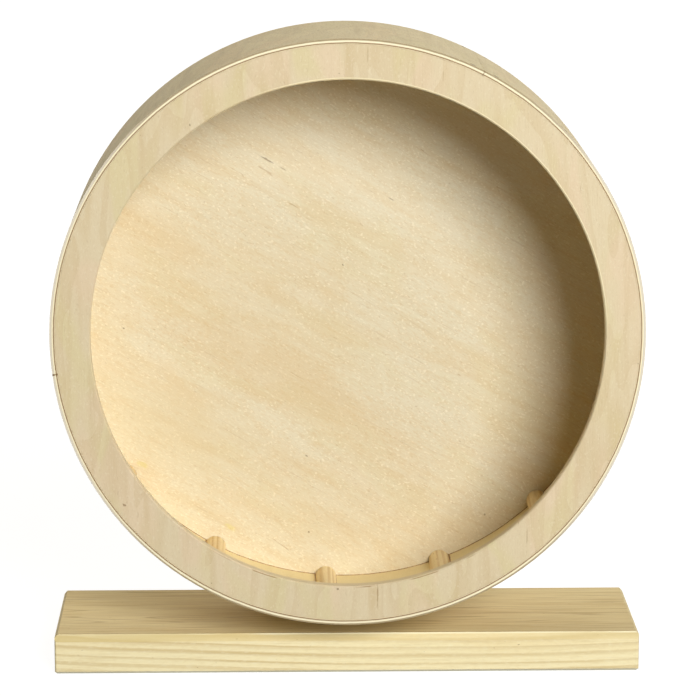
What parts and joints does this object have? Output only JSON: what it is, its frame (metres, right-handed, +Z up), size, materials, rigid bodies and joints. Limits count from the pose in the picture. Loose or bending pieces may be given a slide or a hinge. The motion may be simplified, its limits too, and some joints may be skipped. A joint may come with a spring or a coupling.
{
  "type": "rodent exercise wheel",
  "caption": "Wooden running drum with an open mouth and half-round rungs, turning in ball bearings on an upright behind it, on a plank base.",
  "frame": {"origin": "on the ground, in the middle of the whole object's width and depth", "axes": "+X to the right seen from the open mouth, +Y from the open mouth along the axle to the back, +Z up"},
  "size_m": [0.283, 0.1374, 0.3095],
  "materials": {
    "birch_ply": "sanded, unfinished",
    "band_ply": "sanded, unfinished",
    "poplar_ply": "sanded, unfinished",
    "rung_wood": "sanded, unfinished",
    "pine": "planed, unfinished",
    "beech": "sanded, unfinished",
    "zinc_steel": "zinc plated",
    "bearing_steel": "ground and polished",
    "cage_brass": "pressed",
    "nylon": "moulded"
  },
  "bodies": {
    "stand": {"base_plank": "pine", "upright_board": "pine", "stand_screws": "zinc_steel", "front_bearing_outer_ring": "bearing_steel", "front_bearing_shields": "zinc_steel", "rear_bearing_outer_ring": "bearing_steel", "rear_bearing_shields": "zinc_steel"},
    "wheel": {"front_ring": "birch_ply", "long_band": "band_ply", "short_band": "band_ply", "back_disc": "poplar_ply", "rung_01": "rung_wood", "rung_02": "rung_wood", "rung_03": "rung_wood", "rung_04": "rung_wood", "rung_05": "rung_wood", "rung_06": "rung_wood", "rung_07": "rung_wood", "rung_08": "rung_wood", "rung_09": "rung_wood", "rung_10": "rung_wood", "rung_11": "rung_wood", "rung_12": "rung_wood", "rung_13": "rung_wood", "rung_14": "rung_wood", "rung_15": "rung_wood", "band_brads": "zinc_steel", "hub_block": "beech", "hub_screws": "zinc_steel", "axle_bolt": "zinc_steel", "hub_spacer": "bearing_steel", "front_bearing_inner_ring": "bearing_steel", "inner_spacer": "bearing_steel", "rear_bearing_inner_ring": "bearing_steel", "axle_washer": "zinc_steel", "lock_nut": "zinc_steel", "nut_insert": "nylon"},
    "front_ball_set": {"front_bearing_balls": "bearing_steel", "front_bearing_cage": "cage_brass"},
    "rear_ball_set": {"rear_bearing_balls": "bearing_steel", "rear_bearing_cage": "cage_brass"}
  },
  "joints": [
    {"name": "wheel_spin", "type": "hinge", "parent": "stand", "child": "wheel", "pos_m": [0, 0, 0.1695], "axis": [0, 1, 0], "continuous": true},
    {"name": "front_balls_spin", "type": "hinge", "parent": "stand", "child": "front_ball_set", "pos_m": [0, 0, 0.1695], "axis": [0, 1, 0], "continuous": true},
    {"name": "rear_balls_spin", "type": "hinge", "parent": "stand", "child": "rear_ball_set", "pos_m": [0, 0, 0.1695], "axis": [0, 1, 0], "continuous": true}
  ],
  "couplings": [
    {"joint": "front_balls_spin", "follows": "wheel_spin", "ratio": 0.36767},
    {"joint": "rear_balls_spin", "follows": "wheel_spin", "ratio": 0.36767}
  ]
}
